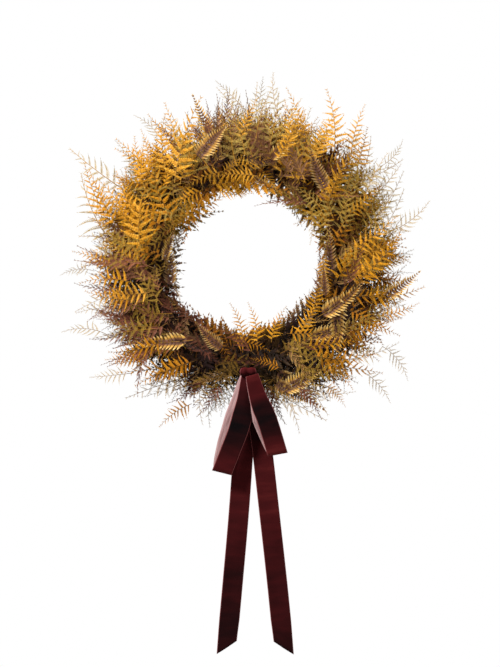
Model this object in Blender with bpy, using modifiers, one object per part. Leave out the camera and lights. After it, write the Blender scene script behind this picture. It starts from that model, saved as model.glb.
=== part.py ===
"""Harvest door wreath: a wound vine ring, wired fern sprays and a velvet ribbon bow.

Metres. Z is up, the front faces -Y and +X is to the viewer's right. The origin is where a door
hook carries the wire eye behind the top of the ring, so the whole wreath hangs below it.
"""
import math

import bpy
import bmesh
from mathutils import Matrix, Vector

MM = 0.001

# ---- driving dimensions ------------------------------------------------------------------------
RING_RADIUS = 178 * MM          # centreline of the vine ring
HANG_RISE = 45 * MM             # hook point above the ring's centreline
CORE_RADIUS = 8 * MM            # bent rattan hoop
STRAND_RADIUS = 3.3 * MM        # thin vine wound round the hoop
STRAND_COUNT = 3
STRAND_TURNS = 7
STEM_RADIUS = 1.3 * MM          # wired stem of one spray
STEM_ARC = 8.5                  # degrees of ring that a stem lies along
PADDLE_WIRE_RADIUS = 0.8 * MM   # florist's wire that binds the stems
PADDLE_TURNS = 20
HANGER_WIRE_RADIUS = 1.1 * MM
HANGER_EYE_RADIUS = 13 * MM
SPRAY_THICKNESS = 0.62          # depth of a spray over its width
RIBBON_WIDTH = 37 * MM          # number 9 velvet ribbon
RIBBON_THICKNESS = 1.1 * MM
KNOT_HALF_WIDTH = 15 * MM
KNOT_HALF_HEIGHT = 8.5 * MM
KNOT_DROP = 28 * MM             # knot's axis below the ring's centreline
KNOT_SHIFT = 5.5 * MM           # the bow sits a little to the right
TAIL_LENGTH = 512 * MM
LOOP_LEFT_LENGTH = 182 * MM
LOOP_RIGHT_LENGTH = 160 * MM
LOOP_BELLY = 20 * MM            # a loop's depth where it is fullest
LOOP_NECK = 6 * MM              # and where it leaves the knot
LOOP_LEFT_LEAN = 14.5           # degrees from straight down, as it hangs
LOOP_RIGHT_LEAN = -19.0
LOOP_SWING = 30.0               # and how much further each one can be pushed outwards
GAP = 0.4 * MM                  # clear space between touching pieces

# ---- derived sizes -----------------------------------------------------------------------------
STRAND_LANE = CORE_RADIUS + STRAND_RADIUS + GAP + 0.6 * MM
STEM_LANE = STRAND_LANE + STRAND_RADIUS + STEM_RADIUS + GAP
PADDLE_POINTS = 8               # points in each turn of the binding wire
PADDLE_LANE = (STEM_LANE + STEM_RADIUS + GAP + PADDLE_WIRE_RADIUS) / math.cos(math.pi / PADDLE_POINTS)
TIE_POINTS = 16
TIE_LANE = (PADDLE_LANE + PADDLE_WIRE_RADIUS + GAP + HANGER_WIRE_RADIUS) / math.cos(math.pi / TIE_POINTS)
RING_CENTRE = Vector((0.0, -TIE_LANE, -HANG_RISE - RING_RADIUS))
PADDLE_PITCH = 360.0 / PADDLE_TURNS
KNOT_AXIS = RING_CENTRE + Vector((KNOT_SHIFT, 0.0, -RING_RADIUS - KNOT_DROP))
KNOT_BACK = -58 * MM            # depths in front of the ring's centreline
KNOT_FRONT = -90 * MM
LAYER_TAIL_LEFT = -62 * MM
LAYER_TAIL_RIGHT = -65 * MM
LAYER_LOOP_LEFT = -68.5 * MM    # each loop's back strip at its neck
LAYER_LOOP_RIGHT = -81.5 * MM
FURTHEST_LEAN = math.radians(max(abs(LOOP_LEFT_LEAN), abs(LOOP_RIGHT_LEAN)) + LOOP_SWING)
# Loops and tails start this far below the knot's axis. A loop at its furthest lean still clears the knot.
KNOT_CLEAR = RIBBON_THICKNESS / 2 + 2 * GAP + math.hypot(
    KNOT_HALF_WIDTH * math.sin(FURTHEST_LEAN), KNOT_HALF_HEIGHT * math.cos(FURTHEST_LEAN)
)
TAIL_SLANT = 13 * MM            # a tail's cut end is this much longer on one side

# ---- the sprays: name, colour, clock of the root, clock of the tip, tip radius, half width -------
# Clock angles run clockwise from the top, in degrees. Radii are from the ring's centre.
OUTER_SPRAYS = [
    ("olive_lace_fern_top_right", "olive", 9, 8, 347, 28),
    ("gold_fern_upright_right", "gold", 27, 25, 354, 35),
    ("gold_fern_corner_right", "gold", 45, 40, 347, 36),
    ("olive_lace_fern_upper_right", "olive", 63, 57, 350, 37),
    ("olive_lace_fern_right", "olive", 81, 75, 355, 38),
    ("gold_fern_right", "gold", 99, 92, 345, 40),
    ("amber_fern_right", "gold", 117, 109, 340, 40),
    ("amber_fern_lower_right", "gold", 135, 127, 345, 38),
    ("sword_fern_lower_right", "sword", 153, 147, 318, 35),
    ("olive_lace_fern_bottom_right", "olive", 171, 167, 275, 21),
    ("olive_lace_fern_bottom_left", "olive", 189, 193, 284, 21),
    ("amber_fern_lower_left", "gold", 207, 211, 330, 34),
    ("plume_fern_lower_left", "plume", 225, 232, 345, 38),
    ("olive_lace_fern_lower_left", "olive", 243, 251, 338, 40),
    ("plume_fern_left", "plume", 261, 269, 340, 40),
    ("gold_fern_left", "gold", 279, 286, 345, 38),
    ("olive_lace_fern_upper_left", "olive", 297, 302, 368, 37),
    ("gold_fern_corner_left", "gold", 315, 319, 322, 36),
    ("gold_fern_upright_left", "gold", 333, 336, 324, 35),
    ("plume_fern_top_left", "plume", 351, 351.5, 343, 28),
]
# Clock of the root, clock and radius of the tip, how far forward of the ring the tip stands, half width.
FRONT_SPRAYS = [
    ("sword_fern_front_top", "sword", 13.5, -3, 232, 66, 25),
    ("plume_fern_front_upper_right", "plume", 49.5, 20, 246, 70, 32),
    ("amber_fern_front_right", "gold", 85.5, 57, 266, 72, 34),
    ("sword_fern_front_right", "sword", 121.5, 93, 270, 70, 34),
    ("sword_fern_front_lower_right", "sword", 157.5, 131, 264, 64, 29),
    ("sword_fern_front_lower_left", "sword", 193.5, 219, 258, 62, 29),
    ("plume_fern_front_lower_left", "plume", 229.5, 255, 268, 70, 34),
    ("gold_fern_front_left", "gold", 265.5, 291, 268, 72, 34),
    ("gold_fern_front_upper_left", "gold", 301.5, 326, 264, 70, 32),
    ("sword_fern_front_upper_left", "sword", 337.5, 347, 268, 64, 22),
]
INNER_SPRAYS = [
    ("gold_fern_inner_top", "gold", 0, -18, 118, 19),
    ("sword_fern_inner_top_right", "sword", 36, 7, 128, 25),
    ("olive_lace_fern_inner_upper_right", "olive", 72, 43, 126, 26),
    ("gold_fern_inner_right", "gold", 108, 79, 126, 26),
    ("sword_fern_inner_lower_right", "sword", 144, 116, 126, 26),
    ("gold_fern_inner_bottom", "gold", 180, 199, 122, 22),
    ("plume_fern_inner_lower_left", "plume", 216, 244, 124, 26),
    ("sword_fern_inner_left", "sword", 252, 281, 126, 26),
    ("olive_lace_fern_inner_upper_left", "olive", 288, 315, 128, 25),
    ("gold_fern_inner_top_left", "gold", 324, 336, 134, 15),
]

# ---- clear the scene ---------------------------------------------------------------------------
for old in list(bpy.data.objects):
    bpy.data.objects.remove(old, do_unlink=True)

wreath = bpy.data.collections.new("harvest_door_wreath")
bpy.context.scene.collection.children.link(wreath)


# ---- materials ---------------------------------------------------------------------------------
def plain(name, colour, roughness, metallic=0.0):
    """A Principled material with these constants."""
    mat = bpy.data.materials.new(name)
    mat.use_nodes = True
    shader = next(n for n in mat.node_tree.nodes if n.type == "BSDF_PRINCIPLED")
    shader.inputs["Base Color"].default_value = (*colour, 1.0)
    shader.inputs["Roughness"].default_value = roughness
    shader.inputs["Metallic"].default_value = metallic
    return mat


RATTAN = plain("rattan_hoop", (0.09, 0.05, 0.03), 0.8)
VINE = plain("vine_strand", (0.06, 0.035, 0.02), 0.85)
PADDLE_WIRE = plain("binding_wire", (0.05, 0.06, 0.04), 0.45, 1.0)
HANGER_WIRE = plain("hanger_wire", (0.10, 0.10, 0.10), 0.4, 1.0)
VELVET = plain("velvet_ribbon", (0.045, 0.004, 0.006), 0.9)
FERN_COLOURS = {
    "gold": plain("gold_fern", (0.72, 0.32, 0.03), 0.75),
    "olive": plain("olive_lace_fern", (0.40, 0.24, 0.05), 0.8),
    "plume": plain("mauve_plume_fern", (0.16, 0.06, 0.04), 0.85),
    "sword": plain("brown_sword_fern", (0.24, 0.10, 0.06), 0.75),
}


# ---- shared helpers ----------------------------------------------------------------------------
def on_ring(clock, around, lane):
    """A point at a clock angle, around the ring's section (0 outward, 90 front) at this radius."""
    c, a = math.radians(clock), math.radians(around)
    outward = Vector((math.sin(c), 0.0, math.cos(c)))
    return RING_CENTRE + outward * (RING_RADIUS + lane * math.cos(a)) - Vector((0, 1, 0)) * (lane * math.sin(a))


def at_clock(clock, radius, forward):
    """A point by clock angle, radius from the ring's centre and distance in front of the ring."""
    c = math.radians(clock)
    return RING_CENTRE + Vector((radius * math.sin(c), -forward, radius * math.cos(c)))


def add(name, data, material, where=(0, 0, 0)):
    """Puts one named piece in the wreath's collection, with its origin here."""
    ob = bpy.data.objects.new(name, data)
    ob.location = where
    data.materials.append(material)
    wreath.objects.link(ob)
    return ob


def wire_curve(name, points, radius, closed=False, radii=None, resolution=1):
    """A round tube along straight segments."""
    curve = bpy.data.curves.new(name, "CURVE")
    curve.dimensions = "3D"
    curve.bevel_depth = radius
    curve.bevel_resolution = resolution
    curve.use_fill_caps = not closed
    spline = curve.splines.new("POLY")
    spline.points.add(len(points) - 1)
    spline.use_cyclic_u = closed
    for i, (spot, point) in enumerate(zip(spline.points, points)):
        spot.co = (*point, 1.0)
        spot.radius = radii[i] if radii else 1.0
    return curve


def as_mesh(curve, name):
    """A curve's surface as a clean closed mesh."""
    holder = bpy.data.objects.new(name + "_path", curve)
    wreath.objects.link(holder)
    bpy.context.view_layer.update()
    graph = bpy.context.evaluated_depsgraph_get()
    mesh = bpy.data.meshes.new_from_object(holder.evaluated_get(graph))
    bpy.data.objects.remove(holder, do_unlink=True)
    mesh.name = name
    mesh.materials.clear()
    bm = bmesh.new()
    bm.from_mesh(mesh)
    bmesh.ops.remove_doubles(bm, verts=bm.verts, dist=0.00002)
    bmesh.ops.recalc_face_normals(bm, faces=bm.faces)
    bm.to_mesh(mesh)
    bm.free()
    return mesh


def bend(start, elbow, end, count):
    """Points along the smooth path from start to end that leaves start towards elbow."""
    return [
        start * (1 - t) ** 2 + elbow * (2 * t * (1 - t)) + end * t ** 2
        for t in (i / count for i in range(1, count + 1))
    ]


def nearest_on(spine, point):
    """The nearest point of a path, and how far along the path it is from 0 to 1."""
    best = (math.inf, spine[0], 0.0)
    for i in range(len(spine) - 1):
        step = spine[i + 1] - spine[i]
        t = max(0.0, min(1.0, (point - spine[i]).dot(step) / step.length_squared))
        foot = spine[i] + step * t
        best = min(best, ((point - foot).length, foot, (i + t) / (len(spine) - 1)), key=lambda b: b[0])
    return best[1], best[2]


# ---- the ring ----------------------------------------------------------------------------------
def rattan_hoop():
    points = [on_ring(i * 6, 0, 0) for i in range(60)]
    add("rattan_hoop", wire_curve("rattan_hoop", points, CORE_RADIUS, closed=True, resolution=2), RATTAN)


def vine_strand(index):
    """One thin vine wound round the hoop. The strands share their pitch, so they never cross."""
    steps = STRAND_TURNS * 9
    start = index * 360 / STRAND_COUNT
    points = [
        on_ring(i * 360 / steps, start + i * STRAND_TURNS * 360 / steps, STRAND_LANE) for i in range(steps)
    ]
    name = "vine_strand_%d" % (index + 1)
    add(name, wire_curve(name, points, STRAND_RADIUS, closed=True), VINE)


def binding_wire():
    """One long wire that binds the stems of the sprays all the way round."""
    first, last = int(0.2 * PADDLE_POINTS), int((PADDLE_TURNS - 0.2) * PADDLE_POINTS)
    points = [
        on_ring(i * PADDLE_PITCH / PADDLE_POINTS, i * 360 / PADDLE_POINTS, PADDLE_LANE)
        for i in range(first, last + 1)
    ]
    add("binding_wire", wire_curve("binding_wire", points, PADDLE_WIRE_RADIUS), PADDLE_WIRE)


def hanger_wire():
    """A wire wrapped twice round the top of the ring, with an eye between the wraps."""
    leg = math.degrees(math.asin(HANGER_EYE_RADIUS / RING_RADIUS))
    turn = [(-110 + i * 380 / TIE_POINTS, leg + 1.8 * (1 - i / TIE_POINTS)) for i in range(TIE_POINTS + 1)]
    left = [on_ring(-clock, around, TIE_LANE) for around, clock in turn]
    right = [on_ring(clock, around, TIE_LANE) for around, clock in reversed(turn)]
    middle = HANGER_WIRE_RADIUS - HANGER_EYE_RADIUS
    eye = [
        Vector((
            -HANGER_EYE_RADIUS * math.cos(math.radians(a)), 0.0,
            middle + HANGER_EYE_RADIUS * math.sin(math.radians(a)),
        ))
        for a in range(0, 181, 20)
    ]
    curve = wire_curve("hanger_wire", left + eye + right, HANGER_WIRE_RADIUS, resolution=1)
    add("hanger_wire", curve, HANGER_WIRE)


# ---- the sprays --------------------------------------------------------------------------------
def spray(name, colour, stem, body, half_width, slim_until):
    """One fern spray: a wired stem that widens into a flat tapered body."""
    spine = stem + body
    wide = [0.0, 0.8, 1.0, 1.0, 0.96, 0.84, 0.58, 0.06]
    radii = [1.0] * len(stem)
    for i in range(len(body)):
        share = max(0.0, (i + 1) / len(body) - slim_until) / (1 - slim_until)
        low = min(int(share * 7), 6)
        size = wide[low] + (wide[low + 1] - wide[low]) * (share * 7 - low)
        radii.append(max(1.0, size * half_width / STEM_RADIUS))
    radii[0] = 0.6
    mesh = as_mesh(wire_curve(name, spine, STEM_RADIUS, radii=radii), name)
    for vertex in mesh.vertices:
        foot, along = nearest_on(spine, vertex.co)
        part = max(0.0, along * (len(spine) - 1) - len(stem) + 1) / len(body)
        flat = 1 - (1 - SPRAY_THICKNESS) * min(1.0, part * 4)
        vertex.co.y = foot.y + (vertex.co.y - foot.y) * flat
    mesh.update()
    ob = add(name, mesh, FERN_COLOURS[colour])
    for face in mesh.polygons:
        face.use_smooth = True
    return ob


def stem_under_wire(clock, around, way):
    """The wired end: it lies along the ring, under one turn of the binding wire."""
    return [on_ring(clock - way * STEM_ARC * s, around, STEM_LANE) for s in (1.0, 0.5, 0.0)]


def outer_spray(name, colour, root, tip, tip_radius, half_width):
    way = 1 if tip > root else -1
    stem = stem_under_wire(root, 0, way)
    edge = RING_RADIUS + STEM_LANE
    knee = at_clock(root + way * 3.0, edge + 16 * MM, 10 * MM)
    end = at_clock(tip, tip_radius * MM, 12 * MM)
    body = [at_clock(root + way * 1.6, edge + 8 * MM, 5 * MM)] + bend(knee, knee.lerp(end, 0.4), end, 7)
    spray(name, colour, stem, body, half_width * MM, 0.12)


def front_spray(name, colour, root, tip, tip_radius, forward, half_width):
    way = 1 if tip > root else -1
    stem = stem_under_wire(root, 90, way)
    knee = at_clock(root + way * 3.5, RING_RADIUS + 4 * MM, STEM_LANE + 20 * MM)
    elbow = at_clock(root + way * 12, RING_RADIUS + 22 * MM, STEM_LANE + 34 * MM)
    end = at_clock(tip, tip_radius * MM, forward * MM)
    body = [at_clock(root + way * 1.8, RING_RADIUS + 1 * MM, STEM_LANE + 9 * MM)] + bend(knee, elbow, end, 7)
    spray(name, colour, stem, body, half_width * MM, 0.12)


def inner_spray(name, colour, root, tip, tip_radius, half_width):
    way = 1 if tip > root else -1
    stem = stem_under_wire(root, 180, way)
    edge = RING_RADIUS - STEM_LANE
    knee = at_clock(root + way * 2.0, edge - 12 * MM, 2 * MM)
    elbow = at_clock((root + tip) / 2, tip_radius * MM - 3 * MM, 6 * MM)
    end = at_clock(tip, tip_radius * MM, 10 * MM)
    body = [at_clock(root + way * 0.8, edge - 6 * MM, 1 * MM)] + bend(knee, elbow, end, 7)
    spray(name, colour, stem, body, half_width * MM, 0.12)


# ---- the bow -----------------------------------------------------------------------------------
def knot():
    """The ribbon wrapped round the middle of the bow."""
    mesh = bpy.data.meshes.new("ribbon_knot")
    bm = bmesh.new()
    bmesh.ops.create_cone(
        bm, cap_ends=True, segments=24, radius1=KNOT_HALF_WIDTH, radius2=KNOT_HALF_WIDTH,
        depth=KNOT_BACK - KNOT_FRONT, matrix=Matrix.Rotation(math.radians(90), 4, "X"),
    )
    bmesh.ops.scale(bm, vec=(1, 1, KNOT_HALF_HEIGHT / KNOT_HALF_WIDTH), verts=bm.verts)
    bm.to_mesh(mesh)
    bm.free()
    ob = add("ribbon_knot", mesh, VELVET, KNOT_AXIS + Vector((0, (KNOT_BACK + KNOT_FRONT) / 2, 0)))
    rounding = ob.modifiers.new("rounded_rims", "BEVEL")
    rounding.width = 2 * MM
    rounding.segments = 2
    rounding.limit_method = "ANGLE"


def bow_wire():
    """The wire that ties the knot to the ring: round the ring's back, with both ends at the knot."""
    clock = 180 - math.degrees(math.asin(KNOT_SHIFT / RING_RADIUS))
    low, high = KNOT_DROP - 2.2 * MM, KNOT_DROP + 2.2 * MM
    ends = KNOT_BACK + 3 * GAP
    wrap = [on_ring(clock, -i * 260 / 12, TIE_LANE) for i in range(13)]
    down = Vector((0, 0, -1))
    at_knot = RING_CENTRE + Vector((KNOT_SHIFT, 0, -RING_RADIUS))
    first = [at_knot + down * low + Vector((0, ends, 0)), at_knot + down * (low - 1 * MM) + Vector((0, -28 * MM, 0))]
    last = [at_knot + down * high + Vector((0, ends, 0))]
    curve = wire_curve("bow_wire", first + wrap + last, HANGER_WIRE_RADIUS, resolution=1)
    add("bow_wire", curve, HANGER_WIRE)


def loop_profile(length, neck, belly):
    """The outline of a hanging loop seen from the side: (forward, down) from its back strip's top."""
    half = belly / 2
    back = [(0, KNOT_CLEAR), (-1.5 * MM, length * 0.4), (-2.0 * MM, length * 0.75)]
    middle = (half - 2 * MM, length - half)
    bottom = [
        (middle[0] - half * math.cos(math.radians(a)), middle[1] + half * math.sin(math.radians(a)))
        for a in range(15, 180, 30)
    ]
    front = [(belly - 2 * MM, length * 0.75), (belly * 0.5, length * 0.4), (neck, KNOT_CLEAR)]
    return back + bottom + front


def ribbon_loop(name, layer, length, lean):
    """A hanging bow loop: a band of ribbon closed on itself behind the knot."""
    curve = bpy.data.curves.new(name, "CURVE")
    curve.dimensions = "2D"
    curve.fill_mode = "NONE"
    curve.extrude = RIBBON_WIDTH / 2
    outline = loop_profile(length, LOOP_NECK, LOOP_BELLY)
    spline = curve.splines.new("POLY")
    spline.points.add(len(outline) - 1)
    spline.use_cyclic_u = True
    for spot, (forward, down) in zip(spline.points, outline):
        spot.co = (forward, -down, 0.0, 1.0)
    mesh = as_mesh(curve, name)
    to_world = Matrix(((0, 0, 1, 0), (-1, 0, 0, 0), (0, 1, 0, 0), (0, 0, 0, 1)))
    mesh.transform(Matrix.Translation((0, layer, 0)) @ Matrix.Rotation(math.radians(lean), 4, "Y") @ to_world)
    ob = add(name, mesh, VELVET, KNOT_AXIS)
    cloth = ob.modifiers.new("cloth_thickness", "SOLIDIFY")
    cloth.thickness = RIBBON_THICKNESS
    cloth.offset = 0.0
    return ob


def ribbon_tail(name, layer, drift, side):
    """A hanging tail: a flat strip with a slanted cut. Drift is how far its end leans sideways."""
    curve = bpy.data.curves.new(name, "CURVE")
    curve.dimensions = "2D"
    curve.fill_mode = "BOTH"
    curve.extrude = RIBBON_THICKNESS / 2
    half = RIBBON_WIDTH / 2
    rows = [(0.0, 0.0), (0.30, 0.20), (0.62, 0.52), (1.0, 1.0)]
    middle = [(drift * lean, -KNOT_CLEAR - (TAIL_LENGTH - KNOT_CLEAR) * down) for down, lean in rows]
    one = [(x - half, z) for x, z in middle]
    other = [(x + half, z) for x, z in middle]
    one[-1] = (one[-1][0], one[-1][1] - (TAIL_SLANT if side < 0 else 0) + TAIL_SLANT / 2)
    other[-1] = (other[-1][0], other[-1][1] - (TAIL_SLANT if side > 0 else 0) + TAIL_SLANT / 2)
    outline = one + other[::-1]
    spline = curve.splines.new("POLY")
    spline.points.add(len(outline) - 1)
    spline.use_cyclic_u = True
    for spot, (x, z) in zip(spline.points, outline):
        spot.co = (x, z, 0.0, 1.0)
    mesh = as_mesh(curve, name)
    to_world = Matrix(((1, 0, 0, 0), (0, 0, -1, 0), (0, 1, 0, 0), (0, 0, 0, 1)))
    mesh.transform(Matrix.Translation((0, layer, 0)) @ to_world)
    return add(name, mesh, VELVET, KNOT_AXIS)


# ---- build -------------------------------------------------------------------------------------
rattan_hoop()
for strand in range(STRAND_COUNT):
    vine_strand(strand)
binding_wire()
hanger_wire()
for entry in OUTER_SPRAYS:
    outer_spray(*entry)
for entry in FRONT_SPRAYS:
    front_spray(*entry)
for entry in INNER_SPRAYS:
    inner_spray(*entry)
knot()
bow_wire()
ribbon_loop("ribbon_loop_left", LAYER_LOOP_LEFT, LOOP_LEFT_LENGTH, LOOP_LEFT_LEAN)
ribbon_loop("ribbon_loop_right", LAYER_LOOP_RIGHT, LOOP_RIGHT_LENGTH, LOOP_RIGHT_LEAN)
ribbon_tail("ribbon_tail_left", LAYER_TAIL_LEFT, -40 * MM, -1)
ribbon_tail("ribbon_tail_right", LAYER_TAIL_RIGHT, 62 * MM, 1)
print("pieces", len(wreath.objects))
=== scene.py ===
# %% [markdown]
# # A harvest door wreath of dried ferns with a velvet bow
# The wreath is a hoop of rattan wound with vine. Short bunches of dried and dyed fern are wired round it,
# and a velvet ribbon bow hangs from the bottom. The measured model is loaded first and stays as it is. It
# gives every piece its place: the plain leaf-shaped solids of the sprays are replaced by real fronds, and
# the plain bands by draped ribbon.

import math
import random

import bmesh
import bpy
import numpy as np
from mathutils import Matrix, Vector


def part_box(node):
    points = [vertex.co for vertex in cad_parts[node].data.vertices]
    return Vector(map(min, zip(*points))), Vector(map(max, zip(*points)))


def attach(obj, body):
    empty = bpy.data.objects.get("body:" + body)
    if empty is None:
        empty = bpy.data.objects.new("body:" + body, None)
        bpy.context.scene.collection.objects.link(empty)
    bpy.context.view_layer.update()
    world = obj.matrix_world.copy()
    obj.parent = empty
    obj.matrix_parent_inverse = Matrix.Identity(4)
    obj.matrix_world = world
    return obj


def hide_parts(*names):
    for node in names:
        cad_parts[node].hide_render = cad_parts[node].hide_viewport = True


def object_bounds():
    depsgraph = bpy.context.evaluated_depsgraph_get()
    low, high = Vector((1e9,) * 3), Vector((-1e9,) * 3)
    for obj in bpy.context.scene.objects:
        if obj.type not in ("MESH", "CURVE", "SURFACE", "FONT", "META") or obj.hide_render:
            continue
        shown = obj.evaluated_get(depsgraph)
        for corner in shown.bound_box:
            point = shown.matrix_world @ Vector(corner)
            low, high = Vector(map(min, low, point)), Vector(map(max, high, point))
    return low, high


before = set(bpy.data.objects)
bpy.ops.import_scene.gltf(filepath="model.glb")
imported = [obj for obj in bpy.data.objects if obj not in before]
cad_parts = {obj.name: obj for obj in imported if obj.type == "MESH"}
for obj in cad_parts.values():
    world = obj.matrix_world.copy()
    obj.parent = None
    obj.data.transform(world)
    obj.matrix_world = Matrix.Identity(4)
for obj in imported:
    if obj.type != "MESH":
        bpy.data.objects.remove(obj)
cad_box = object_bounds()
MM = 0.001
X, Y, Z = Vector((1, 0, 0)), Vector((0, 1, 0)), Vector((0, 0, 1))
chance = random.Random(20)
hoop_low, hoop_high = (Vector(corner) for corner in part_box("rattan_hoop"))
RING = (hoop_low + hoop_high) / 2
RING_RADIUS = (hoop_high.x - hoop_low.x - (hoop_high.y - hoop_low.y)) / 2
knot_low, knot_high = (Vector(corner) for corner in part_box("ribbon_knot"))
KNOT = (knot_low + knot_high) / 2
print("ring centre", [round(v, 4) for v in RING], "radius", round(RING_RADIUS, 4))

# %% [markdown]
# ## Camera, light and floor
# A wreath on a door is looked at straight on. The camera stands three metres in front, so the depth of
# the foliage hardly changes its outline. Two soft lamps light it, a strong one at the upper left and a
# weak one at the right. The world is seen as plain white but gives little light of its own, because light
# from all sides would wash out the dark velvet. The floor lies well below the ribbon's tails.

# %% Stage
FILM_WIDTH = 36.0
VIEW_DISTANCE = 3.0
VIEW_HEIGHT = 1.234
LOOKED_AT = Vector((0.009, -0.05, -0.359))
camera = bpy.data.cameras.new("front_view")
camera.sensor_width = FILM_WIDTH
camera.lens = FILM_WIDTH * VIEW_DISTANCE / VIEW_HEIGHT
camera.clip_end = 50
camera_object = bpy.data.objects.new("front_view", camera)
camera_object.location = LOOKED_AT - VIEW_DISTANCE * Y
camera_object.rotation_euler = (math.radians(90), 0, 0)
bpy.context.scene.collection.objects.link(camera_object)
bpy.context.scene.camera = camera_object
bpy.context.scene.view_settings.view_transform = "Standard"


def srgb(code):
    """Turns a hex colour such as "D9B45A" to the linear values that a shader takes."""
    parts = [int(code[i : i + 2], 16) / 255 for i in (0, 2, 4)]
    return tuple(p / 12.92 if p <= 0.04045 else ((p + 0.055) / 1.055) ** 2.4 for p in parts) + (1.0,)


def soft_lamp(name, place, size, power):
    """A square lamp that looks at the middle of the wreath."""
    light = bpy.data.lights.new(name, "AREA")
    light.size, light.energy = size, power
    lamp = bpy.data.objects.new(name, light)
    lamp.location = place
    lamp.rotation_euler = (RING - Vector(place)).to_track_quat("-Z", "Y").to_euler()
    bpy.context.scene.collection.objects.link(lamp)


world = bpy.data.worlds.new("pale_studio")
world.use_nodes = True
WORLD_SEEN, WORLD_LIGHT = 1.0, 0.1
backdrop = world.node_tree.nodes["Background"]
backdrop.inputs["Color"].default_value = (1, 1, 1, 1)
seen = world.node_tree.nodes.new("ShaderNodeLightPath")
strength = world.node_tree.nodes.new("ShaderNodeMapRange")
strength.inputs["To Min"].default_value = WORLD_LIGHT
strength.inputs["To Max"].default_value = WORLD_SEEN
world.node_tree.links.new(seen.outputs["Is Camera Ray"], strength.inputs["Value"])
world.node_tree.links.new(strength.outputs["Result"], backdrop.inputs["Strength"])
bpy.context.scene.world = world
soft_lamp("key_upper_left", (-1.7, -1.6, 1.9), 0.6, 185)
soft_lamp("fill_right", (1.8, -2.2, 0.2), 1.2, 26)
print("camera and lamps", len(bpy.data.cameras), len(bpy.data.lights))

# %% [markdown]
# ## One way to write materials
# Every material below is a Principled shader with a few nodes in front of it. One function adds a node
# with its settings and links, so each material reads as a short list: a pattern, the colours it picks,
# and the bump it gives.


# %% Node helper
def new_material(name, roughness, **sockets):
    """A Principled material. Sockets are set on the shader itself, with _ for a space in their names."""
    material = bpy.data.materials.new(name)
    material.use_nodes = True
    shader = material.node_tree.nodes["Principled BSDF"]
    shader.inputs["Roughness"].default_value = roughness
    for socket, value in sockets.items():
        shader.inputs[socket.replace("_", " ")].default_value = value
    return material, material.node_tree, shader


def node(tree, kind, links=(), values=(), **settings):
    """Adds a node. Links are {input: output socket}, values {input: number}, settings its own options."""
    made = tree.nodes.new(kind)
    for key, value in settings.items():
        setattr(made, key, value)
    for key, value in dict(values).items():
        made.inputs[key].default_value = value
    for key, socket in dict(links).items():
        tree.links.new(socket, made.inputs[key])
    return made


def ramp(tree, factor, stops):
    """A colour ramp: stops are (place, hex colour)."""
    made = node(tree, "ShaderNodeValToRGB", {"Fac": factor})
    band = made.color_ramp
    while len(band.elements) < len(stops):
        band.elements.new(0.5)
    for element, (place, code) in zip(band.elements, stops):
        element.position, element.color = place, srgb(code)
    return made


# %% [markdown]
# ## Dried fern
# Fern for wreaths is dried, glycerined and dyed. Its colour changes in two ways: from frond to frond, and
# along each tiny leaflet from its base to its tip. Both are written in the leaf map: across is the
# frond's tone, up is base to tip. The frond's tone is its own dye and also painted light and painted
# shade: fronds at the face, the top and the edges are painted lit, fronds deep inside painted shaded. A
# material then only has to look up two ramps. A dried leaf is matt, with a faint waxy sheen.


# %% Fern materials
def fern(name, dye_and_painted_light_tones, tips, tip_share, roughness=0.62):
    """A dyed dried leaf. Tones go from fronds in painted shade to fronds in painted light, tips from a
    leaflet's base to its tip.
    """
    material, tree, shader = new_material(name, roughness, Specular_IOR_Level=0.15)
    leaf_map = node(tree, "ShaderNodeUVMap", uv_map="OFBake")
    split = node(tree, "ShaderNodeSeparateXYZ", {"Vector": leaf_map.outputs["UV"]})
    # Five patches along a leaflet of 5 mm are 1 mm each. A small step in tone gives the next leaf other ones.
    stretch = node(tree, "ShaderNodeMapping", {"Vector": leaf_map.outputs["UV"]}, {"Scale": (70, 5, 1)})
    mottle = node(
        tree, "ShaderNodeTexNoise", {"Vector": stretch.outputs["Vector"]}, {"Scale": 1.0, "Detail": 2.0}
    )
    shade = ramp(tree, mottle.outputs["Fac"], [(0.3, "B4A79A"), (0.62, "FFFFFF")])
    tone = ramp(tree, split.outputs["X"], dye_and_painted_light_tones)
    tip = ramp(tree, split.outputs["Y"], tips)
    # A frond in painted shade is dark all over, and one in painted light shows its tips most.
    share = node(
        tree, "ShaderNodeMath", {0: split.outputs["X"]}, {1: tip_share * 1.9, 2: tip_share * -0.3},
        operation="MULTIPLY_ADD", use_clamp=True,
    )
    mixed = node(tree, "ShaderNodeMix", data_type="RGBA", blend_type="MIX")
    tree.links.new(share.outputs["Value"], mixed.inputs["Factor"])
    tree.links.new(tone.outputs["Color"], mixed.inputs["A"])
    tree.links.new(tip.outputs["Color"], mixed.inputs["B"])
    worn = node(tree, "ShaderNodeMix", data_type="RGBA", blend_type="MULTIPLY")
    worn.inputs["Factor"].default_value = 0.8
    tree.links.new(mixed.outputs["Result"], worn.inputs["A"])
    tree.links.new(shade.outputs["Color"], worn.inputs["B"])
    tree.links.new(worn.outputs["Result"], shader.inputs["Base Color"])
    return material


# The first ramp of each is the dye's colour from painted shade at 0 to painted light at 1, the second runs
# from a leaflet's base to its tip.
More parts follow.
